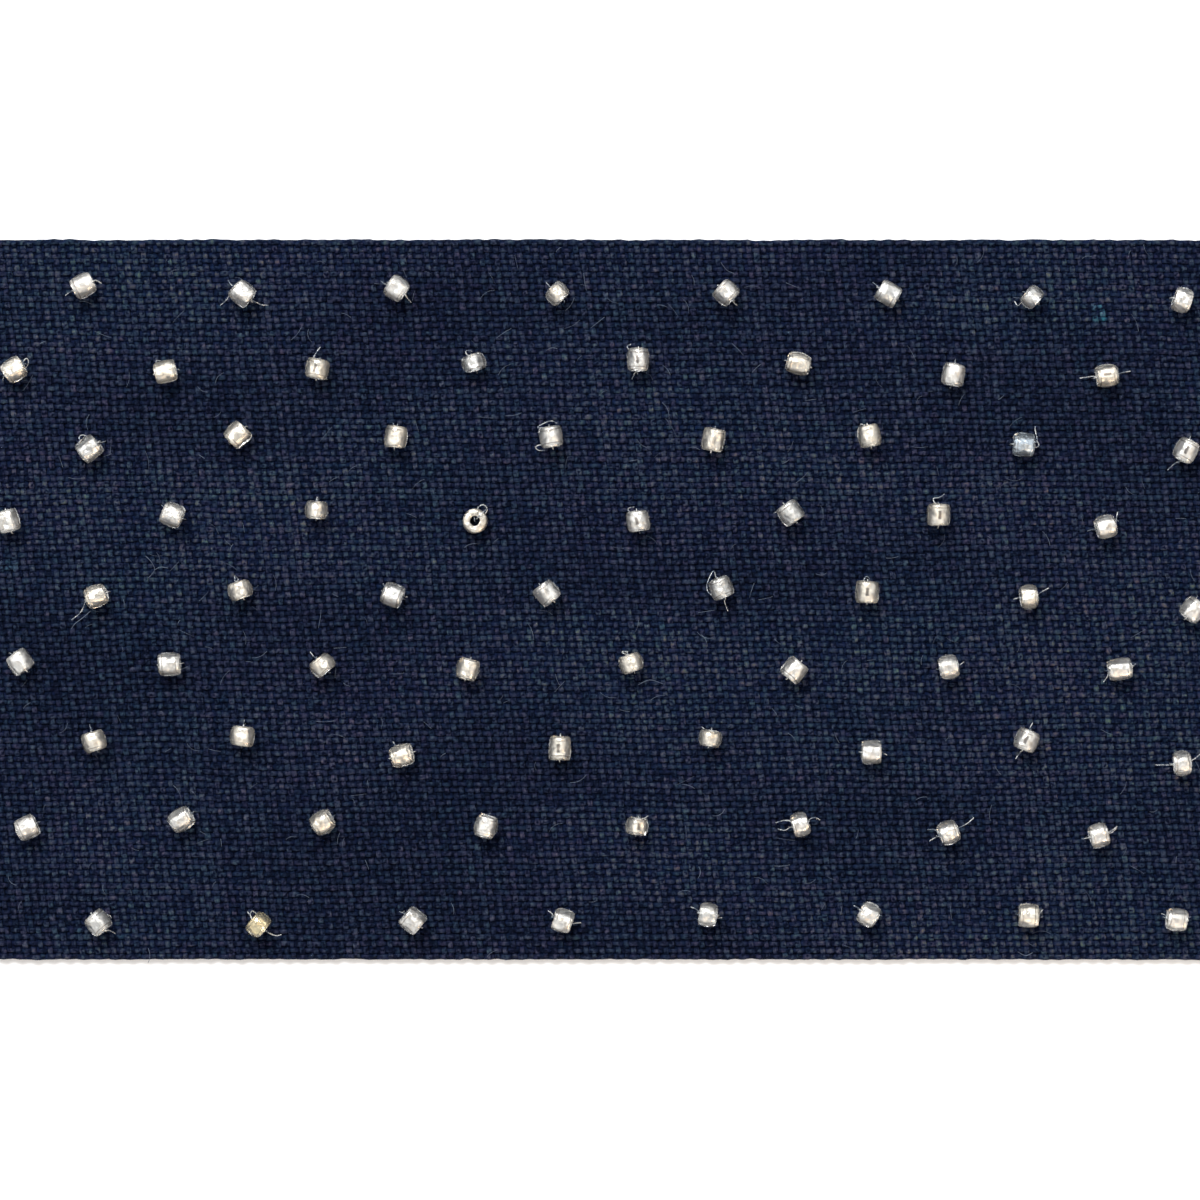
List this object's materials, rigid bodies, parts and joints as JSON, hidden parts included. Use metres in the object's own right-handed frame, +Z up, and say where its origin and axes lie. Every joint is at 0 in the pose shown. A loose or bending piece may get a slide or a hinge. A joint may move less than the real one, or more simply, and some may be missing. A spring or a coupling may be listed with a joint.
{
  "type": "beaded trim",
  "caption": "Flat cut length of navy woven linen trim with small clear glass beads sewn on singly in staggered rows.",
  "frame": {"origin": "middle of the cloth's back, in the plane that it lies on", "axes": "+X along the trim, +Y across it towards its upper edge, +Z up out of the beaded face"},
  "size_m": [0.1048, 0.0604, 0.0035],
  "materials": {
    "linen": "matt plain weave of slubby navy linen yarn with small dark gaps between the threads",
    "bead_glass": "clear to champagne glass with a bright silver lining in the hole"
  },
  "bodies": {
    "root": {"linen_ground": "linen", "bead_row_1": "bead_glass", "bead_row_2": "bead_glass", "bead_row_3": "bead_glass", "bead_row_4": "bead_glass", "bead_row_5": "bead_glass", "bead_row_6": "bead_glass", "bead_row_7": "bead_glass", "bead_row_8": "bead_glass", "bead_row_9": "bead_glass"}
  },
  "joints": []
}
